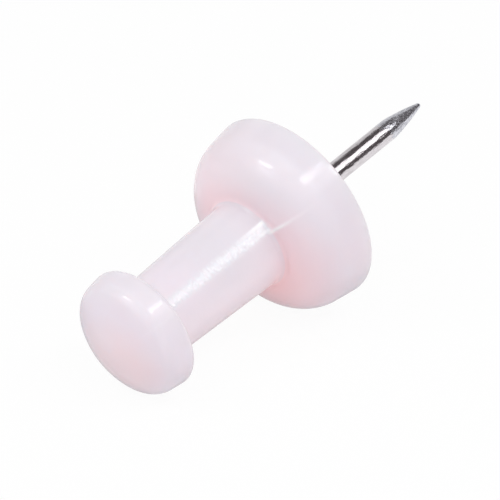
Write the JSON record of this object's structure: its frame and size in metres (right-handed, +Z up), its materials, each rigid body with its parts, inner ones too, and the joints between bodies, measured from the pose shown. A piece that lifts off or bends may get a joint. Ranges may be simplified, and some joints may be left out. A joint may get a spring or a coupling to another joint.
{
  "type": "push pin",
  "caption": "Push pin with a spool-shaped plastic grip of domed cap, tapered stem and wide flange, moulded onto a straight steel pin with a ground point.",
  "frame": {"origin": "centre of the flange's seat face, on the axis of the pin", "axes": "+X along the pin towards its point, so the head lies towards -X; +Z up with the push pin lying on its side"},
  "size_m": [0.0224, 0.01, 0.01],
  "materials": {
    "head_plastic": "glossy, milky, slightly translucent pale pink moulded plastic",
    "pin_steel": "bright plated wire with a rougher ground point"
  },
  "bodies": {
    "root": {"grip_head": "head_plastic", "steel_pin": "pin_steel"}
  },
  "joints": []
}
